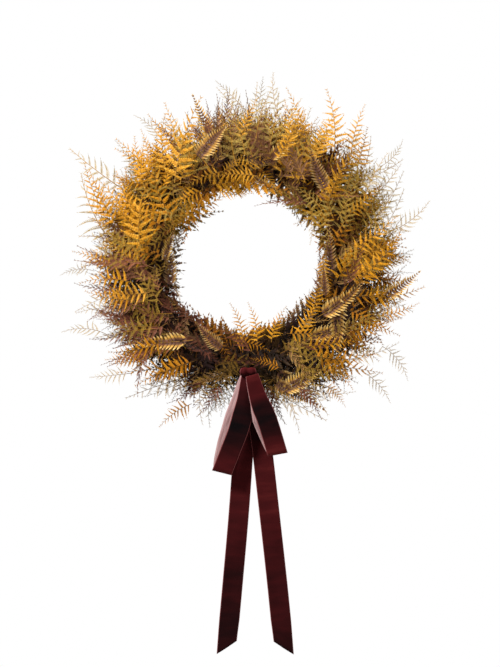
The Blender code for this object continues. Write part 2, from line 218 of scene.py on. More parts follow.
LEAVES = {
    "gold": fern(
        "dyed_gold_leather_fern_matt",
        [(0.0, "1E0E03"), (0.2, "643606"), (0.42, "B06A0A"), (0.68, "E29E12"), (1.0, "F8CC5C")],
        [(0.0, "824204"), (0.5, "DC920A"), (1.0, "FFD25A")], 0.55,
    ),
    "olive": fern(
        "dried_olive_lace_fern_matt",
        [(0.0, "1E1305"), (0.2, "56390F"), (0.42, "966C1C"), (0.7, "C89E3C"), (1.0, "E8CC7C")],
        [(0.0, "785A1A"), (0.6, "B69638"), (1.0, "DEC26C")], 0.4,
    ),
    "plume": fern(
        "dyed_mauve_plume_fern_matt",
        [(0.0, "1A0C08"), (0.2, "46241A"), (0.42, "724030"), (0.7, "A4684A"), (1.0, "CCA070")],
        [(0.0, "4A2620"), (0.6, "844C38"), (1.0, "C49660")], 0.4,
    ),
    "sword": fern(
        "faded_brown_sword_fern_cream_tips",
        [(0.0, "170C0A"), (0.2, "402620"), (0.42, "694840"), (0.7, "8E6040"), (1.0, "C08A44")],
        [(0.0, "462A24"), (0.3, "74503C"), (0.52, "CC983E"), (1.0, "F8D88E")], 1.15,
    ),
}


def dried_stalk():
    """A stalk is woody and brown, and follows its frond's tone: paler where the frond is painted lit, darker
    where it is painted shaded.
    """
    material, tree, shader = new_material("dried_brown_fern_stalk", 0.6, Specular_IOR_Level=0.15)
    leaf_map = node(tree, "ShaderNodeUVMap", uv_map="OFBake")
    split = node(tree, "ShaderNodeSeparateXYZ", {"Vector": leaf_map.outputs["UV"]})
    browns = [(0.0, "160C06"), (0.25, "3A2814"), (0.55, "74501E"), (1.0, "C08A2E")]
    brown = ramp(tree, split.outputs["X"], browns)
    tree.links.new(brown.outputs["Color"], shader.inputs["Base Color"])
    return material


STALK_BROWN = dried_stalk()
print("fern materials", len(LEAVES) + 1)

# %% [markdown]
# ## A leaflet and a bit of stalk
# A frond holds hundreds of leaflets, so one leaflet has to be very light. Four points are enough for a
# closed kite: base, tip and two shoulders that stand a little higher, which gives the crease down its
# middle. The convex hull operator makes its four faces. A bit of stalk is a three-sided taper. Sword fern
# is coarser, and its leaflets are curled strips. All are one unit long, so a matrix gives every copy its
# size, and their tones differ by a hair, as two halves of a leaf do.


# %% Unit leaflet and unit stalk
def finish_mesh(bm, name):
    """Turns a bmesh to a mesh and frees it."""
    mesh = bpy.data.meshes.new(name)
    bm.to_mesh(mesh)
    bm.free()
    return mesh


def unit_leaflet():
    """A closed kite along +Y, creased down its middle."""
    bm = bmesh.new()
    base, tip = bm.verts.new((0, 0, -0.12)), bm.verts.new((0, 1, -0.2))
    left, right = bm.verts.new((-0.5, 0.36, 0.1)), bm.verts.new((0.5, 0.36, 0.1))
    bmesh.ops.convex_hull(bm, input=bm.verts)
    leaf_map = bm.loops.layers.uv.new("OFBake")
    spots = {base: (0.006, 0.0), tip: (0.006, 1.0), left: (0.0, 0.36), right: (0.012, 0.36)}
    for face in bm.faces:
        for loop in face.loops:
            loop[leaf_map].uv = spots[loop.vert]
    bmesh.ops.recalc_face_normals(bm, faces=bm.faces)
    return finish_mesh(bm, "unit_leaflet")


def unit_stalk():
    """A three-sided taper along +Y, on the stalk's material."""
    bm = bmesh.new()
    bmesh.ops.create_cone(bm, cap_ends=True, cap_tris=True, segments=3, radius1=1.0, radius2=0.8, depth=1.0)
    bmesh.ops.rotate(bm, matrix=Matrix.Rotation(math.radians(-90), 3, "X"), verts=bm.verts)
    bmesh.ops.translate(bm, vec=(0, 0.5, 0), verts=bm.verts)
    leaf_map = bm.loops.layers.uv.new("OFBake")
    for face in bm.faces:
        face.material_index = 1
        for loop in face.loops:
            spot = loop.vert.co
            loop[leaf_map].uv = (0.006 + 0.005 * spot.x, 0.1 + 0.8 * spot.y + 0.02 * spot.z)
    return finish_mesh(bm, "unit_stalk")


def unit_curled_leaflet():
    """A longer leaflet that bends up towards the frond's tip and forward: a short strip, made thick."""
    bm = bmesh.new()
    bmesh.ops.create_grid(bm, x_segments=1, y_segments=4, size=0.5)
    outline = [0.6, 1.0, 0.95, 0.66, 0.1]  # the strip's width at each row, from base to tip
    for vert in bm.verts:
        along_leaf = vert.co.y + 0.5
        half = vert.co.x * outline[round(along_leaf * 4)]
        vert.co = Vector((half + 0.75 * along_leaf ** 2, along_leaf, 0.3 * along_leaf ** 2 - abs(half) * 0.2))
    bmesh.ops.solidify(bm, geom=bm.faces, thickness=0.05)
    bmesh.ops.recalc_face_normals(bm, faces=bm.faces)
    leaf_map = bm.loops.layers.uv.new("OFBake")
    for face in bm.faces:
        for loop in face.loops:
            spot = loop.vert.co
            loop[leaf_map].uv = (0.006 + 0.004 * spot.x + 0.01 * spot.z, min(1.0, max(0.0, spot.y)))
    return finish_mesh(bm, "unit_curled_leaflet")


LEAFLET, STALK, CURLED = unit_leaflet(), unit_stalk(), unit_curled_leaflet()
print("faces of a leaflet, a bit of stalk and a curled leaflet")
print([len(unit.polygons) for unit in (LEAFLET, STALK, CURLED)])

# %% [markdown]
# ## Joining copies
# A fern repeats itself: leaflets sit along a pinna, pinnae along a frond, fronds in a spray. So one
# function does all three. It takes copies of a mesh, each with its place and a step in tone, and joins
# them to one mesh.


# %% Join copies
def joined(name, copies):
    """Copies are (mesh, matrix, tone step). The tone step moves the copy across the leaf map."""
    bm = bmesh.new()
    for mesh, matrix, step in copies:
        piece = mesh.copy()
        places = np.empty(2 * len(mesh.loops), np.float32)
        mesh.uv_layers["OFBake"].uv.foreach_get("vector", places)
        places[::2] += step
        # A copied mesh still shares its leaf map with the first one, so the copy gets a map of its own.
        piece.uv_layers.remove(piece.uv_layers["OFBake"])
        piece.uv_layers.new(name="OFBake").uv.foreach_set("vector", places)
        piece.transform(matrix)
        if matrix.determinant() < 0:
            piece.flip_normals()
        bm.from_mesh(piece, face_normals=False)
        bpy.data.meshes.remove(piece)
    return finish_mesh(bm, name)


def along(start, direction, facing, size):
    """A matrix that puts a unit piece at start, growing along direction, with its face towards facing."""
    grow = direction.normalized()
    side = grow.cross(facing).normalized()
    up = side.cross(grow)
    turn = Matrix((side * size[0], grow * size[1], up * size[2])).transposed().to_4x4()
    return Matrix.Translation(start) @ turn


def arc(length, turn, lift, steps):
    """Points and directions along a stalk that turns sideways and lifts forward by so many degrees in all."""
    spot, spots = Vector((0, 0, 0)), []
    for i in range(steps + 1):
        share = i / steps
        a, b = math.radians(turn * share), math.radians(lift * share)
        direction = Vector((math.sin(a) * math.cos(b), math.cos(a) * math.cos(b), math.sin(b)))
        spots.append((spot.copy(), direction, share))
        spot += direction * (length / steps)
    return spots


def stalk_copies(spots, thick, thin, tone):
    """Bits of stalk that follow an arc, thick at its base and thin at its tip."""
    copies = []
    for (a, _, share), (b, _, _) in zip(spots, spots[1:]):
        radius = thick + (thin - thick) * share
        copies.append((STALK, along(a, b - a, Z, (radius, (b - a).length * 1.08, radius)), tone))
    return copies


# %% [markdown]
# ## Five kinds of frond
# Gold leather fern is divided twice: each pinna is a small comb of pointed leaflets, longest near its
# base. Lace fern is the same with threads for leaflets and long arched pinnae. Plume fern is so finely
# divided that it looks like fur. Sword fern is divided once, with narrow leaflets straight on the stalk
# that curl up at their tips. A wisp is what is left of a lace fern when most of it has broken off, and a
# shade frond is a broad plain one for deep inside the wreath. Making every frond anew would take too
# long, so each kind is made six times with other bends and copied with other sizes.


# %% Pinnae
LEAFLET_LEAN = 0.75  # radians from straight out towards the pinna's tip
OVERLAP = 1.1  # a joining piece reaches this much too far, so that no gap shows in a bend


def pinna(name, length, width, spacing, blade, turn, lift, droop=0.0, web=0.0):
    """One side branch along +Y: pairs of leaflets along an arc. Web is the width of leaf that joins them."""
    pairs = max(3, int(length / spacing))
    spots = arc(length, turn, lift, pairs)
    copies = [] if web else stalk_copies(spots[:: max(1, pairs // 2)], 0.5 * MM, 0.2 * MM, 0.02)
    if web:
        half = len(spots) // 2
        for a, b in ((0, half + 1), (half - 1, -1)):
            run = spots[b][0] - spots[a][0]
            copies.append((LEAFLET, along(spots[a][0], run, Z, (web, run.length * OVERLAP, web * 0.2)), 0.03))
    for spot, direction, share in spots[:-1]:
        reach = width * (1 - 0.8 * share ** 1.5) * chance.uniform(0.88, 1.1)
        for hand in (-1, 1):
            side = direction.cross(Z).normalized() * hand
            lean = Z * (droop + chance.uniform(-0.15, 0.15))
            grow = side * math.cos(LEAFLET_LEAN) + direction * math.sin(LEAFLET_LEAN) + lean
            size = (blade * (1 - 0.4 * share), reach, blade * 0.5)
            copies.append((LEAFLET, along(spot, grow, Z, size), 0.02 + 0.08 * share))
    end, direction, _ = spots[-1]
    copies.append((LEAFLET, along(end, direction, Z, (blade * 0.5, spacing * 1.8, blade * 0.25)), 0.1))
    return joined(name, copies)


# %% [markdown]
# ### A divided frond
# Pinnae sit on both sides of a stalk by turns. They are longest a fifth of the way up and shorter to the
# tip, and those near the tip point more forward.

# %% Divided fronds
PINNA_LENGTH = 0.03
SWEEP_LOST = 30  # the pinnae at the tip point this many degrees more forward than those at the base


def divided_frond(
    name, length, width, pinnae, side_branch, turn, lift, bare, droop, sweep, thick, stem_tone=0.02
):
    """A frond with pinnae on both sides by turns. Sweep is their angle from the stalk at its base."""
    spots = arc(length, turn, lift, pinnae * 2)
    copies = stalk_copies(spots[::2], thick, 0.3 * MM, stem_tone)
    for count, (spot, direction, share) in enumerate(spots):
        if share < bare:
            continue
        grown = (share - bare) / (1 - bare)
        size = width / 2 * max(0.13, (1 - grown) ** 0.8) * min(1.0, 0.66 + 2.2 * grown)
        angle = math.radians(sweep - SWEEP_LOST * grown)
        one_side = (1,) if count % 2 else (-1,)
        for hand in one_side if grown < 0.9 else (-1, 1):
            side = direction.cross(Z).normalized() * hand
            lean = droop + chance.uniform(-0.16, 0.16)
            grow = side * math.sin(angle) + direction * math.cos(angle) + Z * lean
            scale = size * chance.uniform(0.9, 1.08) / PINNA_LENGTH
            mesh = side_branch[chance.randrange(len(side_branch))]
            copies.append((mesh, along(spot, grow, Z, (scale ** 0.9, scale, scale ** 0.7)), 0.06 * grown))
    return joined(name, copies)


# %% [markdown]
# ### A sword frond
# Its leaflets sit straight on the stalk in pairs, 7 mm apart and 6 mm wide, and curl towards the tip.

# %% Sword fronds
SWORD_SPACING, SWORD_BLADE = 7.2 * MM, 6.4 * MM


def sword_frond(name, length, width, turn, lift, bare=0.08):
    """Single narrow leaflets in pairs, each bent up towards the tip of the frond."""
    pairs = int(length / SWORD_SPACING)
    spots = arc(length, turn, lift, pairs)
    copies = stalk_copies(spots[::3], 0.9 * MM, 0.35 * MM, 0.05)
    for spot, direction, share in spots:
        if share < bare:
            continue
        grown = (share - bare) / (1 - bare)
        outline = max(0.15, (1 - grown ** 1.7)) * min(1.0, 0.72 + 1.6 * grown)
        reach = width / 2 * outline * chance.uniform(0.9, 1.1)
        blade = SWORD_BLADE * (1 - 0.45 * grown)
        for hand in (-1, 1):
            side = direction.cross(Z).normalized() * hand
            grow = side * 0.93 + direction * 0.22 + Z * chance.uniform(-0.1, 0.35)
            # The unit leaflet bends to its own right, so the left one is turned over.
            copies.append((CURLED, along(spot, grow, Z * -hand, (blade, reach, blade * -hand)), 0.05 * grown))
    end, direction, _ = spots[-1]
    copies.append((LEAFLET, along(end, direction, Z, (3.4 * MM, 9 * MM, 0.8 * MM)), 0.08))
    return joined(name, copies)


# %% [markdown]
# ### The set of fronds
# Three pinnae and six bends of every kind are enough, because each copy gets another size, tilt and tone.

# %% Six bends of every kind
BENDS = [(-24, 10), (20, -8), (-8, 24), (30, 16), (6, -16), (-34, 4)]  # degrees sideways and forward


def pinna_set(name, width, spacing, blade, curl, lift, droop, web=0.0):
    """Three pinnae of one kind with different bends. Sizes are in millimetres."""
    sizes = (width * MM, spacing * MM, blade * MM)
    return [
        pinna(f"{name}_pinna_{i}", PINNA_LENGTH, *sizes, bend * curl, rise + lift, droop, web * MM)
        for i, (bend, rise) in enumerate(BENDS[:3])
    ]


gold_pinnae = pinna_set("gold", 6.4, 4.2, 4.2, 1.0, 0, -0.1, 4.2)
lace_pinnae = pinna_set("lace", 6.2, 3.1, 1.7, 1.6, 0, 0.0, 1.3)
plume_pinnae = pinna_set("plume", 7.5, 2.8, 2.4, 1.0, 12, 0.4, 2.6)
wisp_pinnae = pinna_set("wisp", 5.0, 2.6, 1.5, 1.8, 0, 0.0, 1.4)
shade_pinnae = pinna_set("shade", 10.5, 5.4, 6.4, 1.0, 0, 0.0, 6.0)
# One frond of each kind and bend is made at this size, and its copies are scaled to the size they need.
PROTO_LENGTH, PROTO_WIDTH = 0.125, 0.062
whole = (PROTO_LENGTH, PROTO_WIDTH)
FRONDS = {"gold": [], "olive": [], "plume": [], "sword": [], "wisp": [], "shade": []}
for i, (turn, lift) in enumerate(BENDS):
    FRONDS["gold"].append(
        divided_frond(f"gold_{i}", *whole, 10, gold_pinnae, turn, lift, 0.08, -0.12, 74, 0.9 * MM)
    )
    FRONDS["olive"].append(
        divided_frond(f"lace_{i}", *whole, 8, lace_pinnae, turn, lift, 0.1, 0.05, 66, 0.8 * MM)
    )
    FRONDS["plume"].append(
        divided_frond(f"plume_{i}", *whole, 9, plume_pinnae, turn, lift, 0.08, 0.2, 46, 0.9 * MM)
    )
    FRONDS["sword"].append(sword_frond(f"sword_{i}", *whole, turn * 0.7, lift))
    FRONDS["wisp"].append(
        divided_frond(f"wisp_{i}", *whole, 10, wisp_pinnae, turn * 1.3, lift, 0.2, 0.0, 62, 0.8 * MM, -0.12)
    )
    FRONDS["shade"].append(
        divided_frond(f"shade_{i}", *whole, 7, shade_pinnae, turn, lift * 0.5, 0.06, 0.0, 62, 0.9 * MM)
    )
for kind, meshes in FRONDS.items():
    print(kind, "frond faces", [len(m.polygons) for m in meshes])

# %% [markdown]
# ## Placing fronds
# A florist starts with the outer row, then fills the face of the ring, then tucks short pieces towards
# the hole. Each frond is placed by its root: a clock angle and radius round the ring, how far forward it
# lies, the way it points, and its length. A matrix does all of it. A frond that would pass the measured
# model's box is pushed back in as a whole.


# %% Frond placement
def clock_spot(clock, radius, forward):
    """A point by its clock angle round the ring's centre, in degrees from the top."""
    a = math.radians(clock)
    return RING + Vector((radius * math.sin(a), -forward, radius * math.cos(a)))


ROOM_SHARE, ROOM_MORE = 0.028, 8 * MM  # how far fronds may pass the measured model's box
ROOM = [ROOM_SHARE * (high - low) + ROOM_MORE for low, high in zip(*cad_box)]
INSIDE_LOW = np.array([low - room for low, room in zip(cad_box[0], ROOM)])
INSIDE_HIGH = np.array([high + room for high, room in zip(cad_box[1], ROOM)])
points_of = {}


def mesh_points(mesh):
    """A mesh's points as an array with a row for each."""
    flat = np.empty(len(mesh.vertices) * 3, np.float32)
    mesh.vertices.foreach_get("co", flat)
    return flat.reshape(-1, 3)


def held_inside(mesh, matrix):
    """Moves a frond the little that keeps it inside the measured model's box and off the wall behind."""
    if mesh.name not in points_of:
        points_of[mesh.name] = mesh_points(mesh)
    turn = np.array(matrix)
    placed = points_of[mesh.name] @ turn[:3, :3].T + turn[:3, 3]
    shift = np.maximum(INSIDE_LOW - placed.min(axis=0), 0) + np.minimum(INSIDE_HIGH - placed.max(axis=0), 0)
    return Matrix.Translation(Vector([float(v) for v in shift])) @ matrix


def frond_copy(kind, clock, radius, forward, heading, length, width, tip_out, roll, tone):
    """One frond: heading is its direction in degrees clockwise from up, tip_out how far its tip leans."""
    a, out = math.radians(heading), math.radians(tip_out)
    grow = Vector((math.sin(a) * math.cos(out), -math.sin(out), math.cos(a) * math.cos(out)))
    facing = Matrix.Rotation(math.radians(roll), 3, grow) @ (-Y)
    wider, longer = width / PROTO_WIDTH, length / PROTO_LENGTH
    size = (wider, longer, (wider + longer) / 2)
    variants = FRONDS[kind]
    mesh = variants[chance.randrange(len(variants))]
    return (mesh, held_inside(mesh, along(clock_spot(clock, radius, forward), grow, facing, size)), tone)


# %% [markdown]
# ### The sprays
# The measured model has 40 sprays. Each name says its fern, and its row when that is not the outer one.
# Every frond is added to one of them, so that a spray can still be lifted off the ring as one bunch.

# %% Sprays
KIND_OF = {"gold": "gold", "amber": "gold", "olive": "olive", "plume": "plume", "sword": "sword"}
sprays = {}
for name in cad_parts:
    first = name.split("_")[0]
    if "fern" in name and first in KIND_OF:
        low, high = (Vector(corner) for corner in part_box(name))
        middle = (low + high) / 2 - RING
        row = "front" if "front" in name else "inner" if "inner" in name else "outer"
        clock = math.degrees(math.atan2(middle.x, middle.z)) % 360
        sprays[name] = {"kind": KIND_OF[first], "row": row, "clock": clock, "middle": middle, "copies": []}
print("sprays", len(sprays))


def nearest_spray(kind, place):
    """The spray of one kind whose middle is nearest to a place."""
    fits = [spray for spray in sprays.values() if spray["kind"] == kind]
    return min(fits, key=lambda spray: (spray["middle"] - place).length)


# %% [markdown]
# ### The fronds that stand out
# Each entry is a frond that a person would point to: its kind, its root in millimetres right of and above
# the ring's centre, the way it points, its length and width, and its tone. The tone is its own colour and
# also painted light on the bright ones and painted shade on the darkest. A wisp has only its root, its
# direction and its length. They lie on top, so they are placed at the front, except near the bow and at
# the hole.

# %% Chosen fronds
STANDING_OUT = [
    ("gold", -128, 137, 7, 164, 66, 0.7), ("gold", -176, 157, 3, 84, 34, 0.7),
    ("gold", -190, 139, -5, 78, 26, 0.66), ("gold", -244, 65, -36, 123, 50, 0.45),
    ("gold", -235, 59, -29, 118, 46, 0.5), ("gold", -189, 13, -10, 128, 72, 0.72),
    ("olive", -181, -72, 15, 80, 48, 0.45), ("sword", -90, 178, 38, 86, 46, 0.42),
    ("plume", -39, 250, 17, 64, 34, 0.45), ("plume", -68, 222, 10, 68, 36, 0.5),
    ("gold", -128, 76, 72, 113, 48, 0.42), ("gold", -68, 137, 81, 114, 48, 0.62),
    ("plume", 124, 104, -80, 108, 44, 0.3), ("gold", 113, 213, -12, 108, 42, 0.62),
    ("gold", 163, 196, 7, 118, 64, 0.66), ("gold", 194, 194, 8, 101, 42, 0.66),
    ("gold", 205, 165, 16, 78, 54, 0.55), ("olive", 183, 63, 0, 72, 46, 0.5),
    ("gold", 200, -41, 56, 118, 60, 0.6), ("sword", 250, -72, 62, 84, 34, 0.72),
    ("gold", 122, -105, 16, 70, 54, 0.66), ("sword", 132, -106, 62, 104, 40, 0.66),
    ("gold", 246, -105, 82, 78, 34, 0.5), ("sword", 66, -246, 54, 90, 44, 0.8),
    ("gold", 141, -194, 94, 119, 50, 0.55), ("gold", 148, -231, 124, 54, 28, 0.6),
    ("gold", -98, -265, 249, 72, 44, 0.6), ("sword", -37, -167, -54, 72, 32, 0.45),
    ("plume", 18, -174, -46, 111, 40, 0.45), ("gold", -92, -186, 256, 84, 46, 0.42),
    ("gold", -242, -20, -49, 81, 40, 0.6), ("gold", -205, -75, 270, 92, 50, 0.5),
    ("plume", -187, -122, -70, 104, 44, 0.35), ("plume", -120, -205, 262, 70, 40, 0.3),
    ("sword", -139, -55, 5, 95, 32, 0.25), ("sword", 158, -36, -3, 104, 34, 0.34),
    ("gold", -4, -152, -3, 76, 36, 0.78), ("gold", 22, -156, 3, 80, 38, 0.8),
    ("gold", 48, -152, 9, 72, 34, 0.78), ("plume", 52, -192, -78, 100, 40, 0.3),
    ("olive", -50, -190, 80, 100, 44, 0.45), ("gold", 66, -200, -62, 60, 26, 0.5),
    ("sword", 150, 120, -30, 90, 34, 0.3), ("olive", 2, -194, 251, 118, 44, 0.4),
    ("plume", 175, -60, 30, 120, 46, 0.5), ("plume", 34, -228, 150, 86, 46, 0.42),
    ("sword", 52, -222, 128, 78, 38, 0.42), ("plume", -44, -226, 205, 78, 44, 0.42),
    ("plume", -70, -218, 222, 86, 46, 0.4), ("olive", 118, -236, 112, 84, 46, 0.5),
    ("plume", 92, -226, 134, 84, 46, 0.42), ("olive", 150, -152, 48, 112, 62, 0.72),
    ("olive", 186, -176, 96, 96, 60, 0.72), ("olive", 205, -118, 66, 92, 58, 0.66),
    ("olive", 214, 52, 58, 84, 54, 0.68), ("olive", 0, 186, -6, 104, 60, 0.72),
    ("olive", 44, 204, 16, 96, 58, 0.76), ("olive", 92, 176, 34, 104, 58, 0.7),
    ("gold", 58, 176, 28, 92, 40, 0.6), ("olive", -150, 92, -22, 100, 56, 0.62),
    ("plume", -128, -146, 112, 96, 34, 0.0), ("plume", -8, 184, 104, 84, 36, 0.0),
    ("gold", 76, 190, 12, 100, 44, 0.74), ("plume", 132, -74, 12, 104, 42, 0.42),
    ("olive", -214, -16, -62, 84, 52, 0.66), ("gold", -8, 214, 10, 84, 38, 0.7),
    ("gold", -104, -190, 252, 104, 50, 0.55), ("gold", -150, -150, 246, 100, 46, 0.5),
    ("gold", -186, -176, 262, 72, 40, 0.55), ("olive", 20, 218, 6, 96, 60, 0.86),
    ("olive", 66, 210, 20, 92, 54, 0.84), ("gold", 128, 178, 14, 110, 50, 0.74),
    ("olive", 104, -196, 100, 104, 60, 0.74), ("gold", 108, -160, 84, 104, 46, 0.66),
    ("olive", -100, 176, -16, 92, 56, 0.8), ("olive", 64, -172, 62, 100, 56, 0.6),
    ("plume", 92, -160, 84, 104, 48, 0.5), ("gold", -204, -44, -72, 100, 54, 0.66),
    ("olive", -150, -84, -40, 100, 54, 0.6), ("olive", -160, -122, 264, 96, 52, 0.62),
    ("gold", 96, -140, 30, 84, 40, 0.66),
]
WISPS = [
    (-215, 124, -57, 142), (-242, 26, -40, 150), (0, 280, -43, 76), (67, 255, -23, 96), (250, 174, 65, 65),
    (264, 52, 72, 96), (-280, -20, -72, 64), (-255, -139, -62, 84), (-207, -209, 262, 84),
    (255, -160, 120, 78), (-208, 142, -3, 70), (215, -205, 118, 80), (230, 110, 48, 90),
    (-150, 210, -20, 80), (20, 262, 12, 78),
]
SURFACE_EDGE, SURFACE_RISE, SURFACE_SPREAD = 0.018, 0.046, 0.062
SURFACE_PEAK = RING_RADIUS + 12 * MM
ON_TOP = 0.022  # a chosen frond lies this far before the face of the foliage
AT_THE_HOLE, INTO_FOLIAGE = 0.168, 0.01  # rooted nearer the hole than this, it starts this far inside instead
NEAR_BOW, BOW_HIGH = 85, -180  # this far (mm) to both sides of the bow, and below this height (mm),
BEHIND_TAILS = 0.048  # nothing lies further forward, so that the tails and loops swing free
WISP_FORWARD, WISP_WIDE, WISP_TONE = 0.012, 0.6, 0.8


def surface(radius):
    """How far forward of the ring's centreline the face of the foliage lies: highest over the hoop itself."""
    return SURFACE_EDGE + SURFACE_RISE * np.exp(-(((radius - SURFACE_PEAK) / SURFACE_SPREAD) ** 2))


for kind, right, up, heading, length, width, tone in STANDING_OUT:
    radius, clock = math.hypot(right, up) * MM, math.degrees(math.atan2(right, up))
    lies_at = surface(radius) + ON_TOP
    if abs(right) < NEAR_BOW and up < BOW_HIGH:
        lies_at = BEHIND_TAILS
    if radius < AT_THE_HOLE:
        lies_at = surface(radius) - INTO_FOLIAGE
    tip_out, roll = chance.uniform(-12, 2), chance.uniform(-12, 12)
    frond = frond_copy(kind, clock, radius, lies_at, heading, length * MM, width * MM, tip_out, roll, tone)
    nearest_spray(kind, Vector((right * MM, 0, up * MM)))["copies"].append(frond)
for right, up, heading, length in WISPS:
    radius, clock = math.hypot(right, up) * MM, math.degrees(math.atan2(right, up))
    long, wide, roll = length * MM, length * WISP_WIDE * MM, chance.uniform(-20, 20)
    frond = frond_copy("wisp", clock, radius, WISP_FORWARD, heading, long, wide, 0, roll, WISP_TONE)
    nearest_spray("olive", Vector((right * MM, 0, up * MM)))["copies"].append(frond)
print("chosen fronds", len(STANDING_OUT), "wisps", len(WISPS))

# %% [markdown]
# ### The outline
# The foliage ends at two soft circles, the outer edge and the hole. The edge is pulled in at the bottom,
# where the bow hangs, and pushed out at the lower right. A filling frond that would pass one of them is
# cut shorter, as a florist does.

# %% Outline
EDGE, BOTTOM_EDGE, BOTTOM_HALF = 0.309, 0.278, 35
FULLER, FULLEST_AT = 0.014, 125  # the lower right is fuller than the upper left
HOLE, HOLE_SHIFT, HOLE_NARROW_AT = 0.126, 0.018, -20  # and the hole sits a little low
CUT_TRIES, CUT_TO = 8, 0.87


def apart(a, b):
    """How many degrees apart two clock angles are."""
    return abs((a - b + 180) % 360 - 180)


def edge_at(clock):
    """The outline's radius: less at the bottom, where the bow hangs."""
    low = max(0.0, 1 - apart(clock, 180) / BOTTOM_HALF)
    return EDGE + (BOTTOM_EDGE - EDGE) * low + FULLER * math.cos(math.radians(clock - FULLEST_AT))


def hole_at(clock):
    """The hole's radius."""
    return HOLE - HOLE_SHIFT * math.cos(math.radians(clock - HOLE_NARROW_AT))


def kept_length(clock, radius, heading, length, reach=0.0, clear=0.0):
    """Shortens a frond until its tip is inside the outline and outside the hole."""
    a, b = math.radians(clock), math.radians(heading)
    for _ in range(CUT_TRIES):
        x, z = radius * math.sin(a) + length * math.sin(b), radius * math.cos(a) + length * math.cos(b)
        at = math.degrees(math.atan2(x, z))
        if hole_at(at) + clear < math.hypot(x, z) < reach + edge_at(at):
            break
        length *= CUT_TO
    return length


print("edge at top and bottom", [round(float(edge_at(clock)), 4) for clock in (0, 180)])

# %% [markdown]
# ### Filling the ring
# Fronds point away from the hole but lean upwards, as they do when the florist works round from the
# bottom. Each spray first gets under fronds, which are short, and then over fronds, which are long and
# lie on its face. Under fronds are painted dark with painted shade, over fronds painted lit, and both are
# painted lighter or darker round the ring. They are drawn by chance from a seeded generator, so that the
# wreath looks hand-made but comes out the same each time.

# %% Fill
UNDER = {"olive": 17, "gold": 9, "plume": 16, "sword": 12}
OVER = {"olive": 9, "gold": 3, "plume": 7, "sword": 1}
SHAPE = {"gold": 0.5, "olive": 0.56, "plume": 0.46, "sword": 0.34, "shade": 0.6}  # width for a length of one
REACH = 0.028  # over fronds may pass the dense edge by this much
SHORTEST = 0.03  # and one that is cut shorter than this is left out
INNER_LENGTHS, OVER_LENGTHS, UNDER_LENGTHS = (0.055, 0.085), (0.08, 0.135), (0.075, 0.12)
OFF_HOLE, LOWER_AT_BOW = 0.012, 0.012  # roots stay so far off the hole, and fronds so much lower at the bow
# Under fronds start from a low tone, which is painted shade, and over fronds from a high one, which is
# painted light.
UNDER_PAINTED_SHADE_TONE, OVER_PAINTED_LIGHT_TONE, TONE_SPREAD, TONE_MOST = 0.44, 0.57, 0.18, 0.85
BOW_AT, BOW_HALF = 178, 14  # the bow's clock angle, and how far to both sides of it fronds lie low
DEEPEST = 0.04
# Painted light and shade round the wreath: how much lighter the filling fronds are painted, at every 30
# degrees from its top.
PAINTED_LIGHT_ROUND_THE_RING = [0.26, 0.26, 0.16, 0.02, 0.0, 0.08, -0.14, -0.06, 0.13, -0.02, 0.05, 0.1, 0.26]
# For each row: where roots lie, how deep over and under fronds lie as a share of the foliage, and how far
# their directions spread.
ROWS = {
    "outer": ((0.165, 0.25), (0.75, 1.15), (-0.3, 0.6), 24),
    "front": ((0.14, 0.22), (0.9, 1.25), (0.25, 0.8), 36),
    "inner": ((0.132, 0.18), (0.7, 1.1), (-0.1, 0.7), 30),
}


def leaning_up(signed):
    """The way a frond points when it grows away from the hole but leans upwards: more so near the top."""
    return signed * (0.45 + 0.32 * min(1, abs(signed) / 130))


def fill(spray, over):
    """Adds one frond to a spray: an over frond sits on top, is longer and painted lit; an under frond fills
    behind it and is painted darker, as shade.
    """
    kind, row = spray["kind"], spray["row"]
    roots, over_depth, under_depth, spread = ROWS[row]
    clock = spray["clock"] + chance.gauss(0, 13 if kind == "olive" or row != "outer" else 9)
    radius = chance.uniform(*roots)
    depth = chance.uniform(*(over_depth if over else under_depth))
    radius = max(radius, hole_at(clock) + OFF_HOLE)
    signed = (clock + 180) % 360 - 180
    if row == "inner":
        heading = signed + chance.choice((-1, 1)) * chance.uniform(45, 120)
        length = chance.uniform(*INNER_LENGTHS)
    else:
        heading = leaning_up(signed) + chance.gauss(0, spread)
        length = chance.uniform(*(OVER_LENGTHS if over else UNDER_LENGTHS))
    length = kept_length(clock, radius, heading, length, REACH if over else 0.0)
    if length < SHORTEST:
        return
    forward = surface(radius) * depth if depth > 0 else depth * DEEPEST
    if apart(clock, BOW_AT) < BOW_HALF:
        forward = min(forward, BEHIND_TAILS - LOWER_AT_BOW)
    # Painted light and shade: over fronds lighter than under ones, and lighter or darker round the ring, with
    # a random spread.
    painted_light_here = np.interp(clock % 360, range(0, 361, 30), PAINTED_LIGHT_ROUND_THE_RING)
    tone = (OVER_PAINTED_LIGHT_TONE if over else UNDER_PAINTED_SHADE_TONE) + painted_light_here + chance.uniform(-TONE_SPREAD, TONE_SPREAD)
    # Sword fern is sparse, so its sprays are filled out below with plumes of the same colour.
    shape = "plume" if kind == "sword" and not over else kind
    width = length * SHAPE[shape]
    roll = chance.gauss(0, 12 if over else 24)
    tip_out = chance.gauss(-4, 7)
    tone = min(TONE_MOST, max(0.0, tone))
    frond = frond_copy(shape, clock, radius, forward, heading, length, width, tip_out, roll, tone)
    spray["copies"].append(frond)


# %% [markdown]
# ### Closing the gaps
# Deep inside a real wreath, curled leaves and stems keep the wall from showing through. Broad fronds at
# the back do that here, in low tones that are painted shade. They run sideways in the inner row and behind
# the bow, where one that points down would stand out below.

# %% Shade fronds
SHADE_FRONDS = {"outer": 17, "front": 13, "inner": 9}
BEHIND_BOW, BEHIND_BOW_HALF = 20, 22  # and so many more within this many degrees of the bow
SHADE_ROOTS, SHADE_INNER_ROOTS = (0.145, 0.22), (0.145, 0.165)
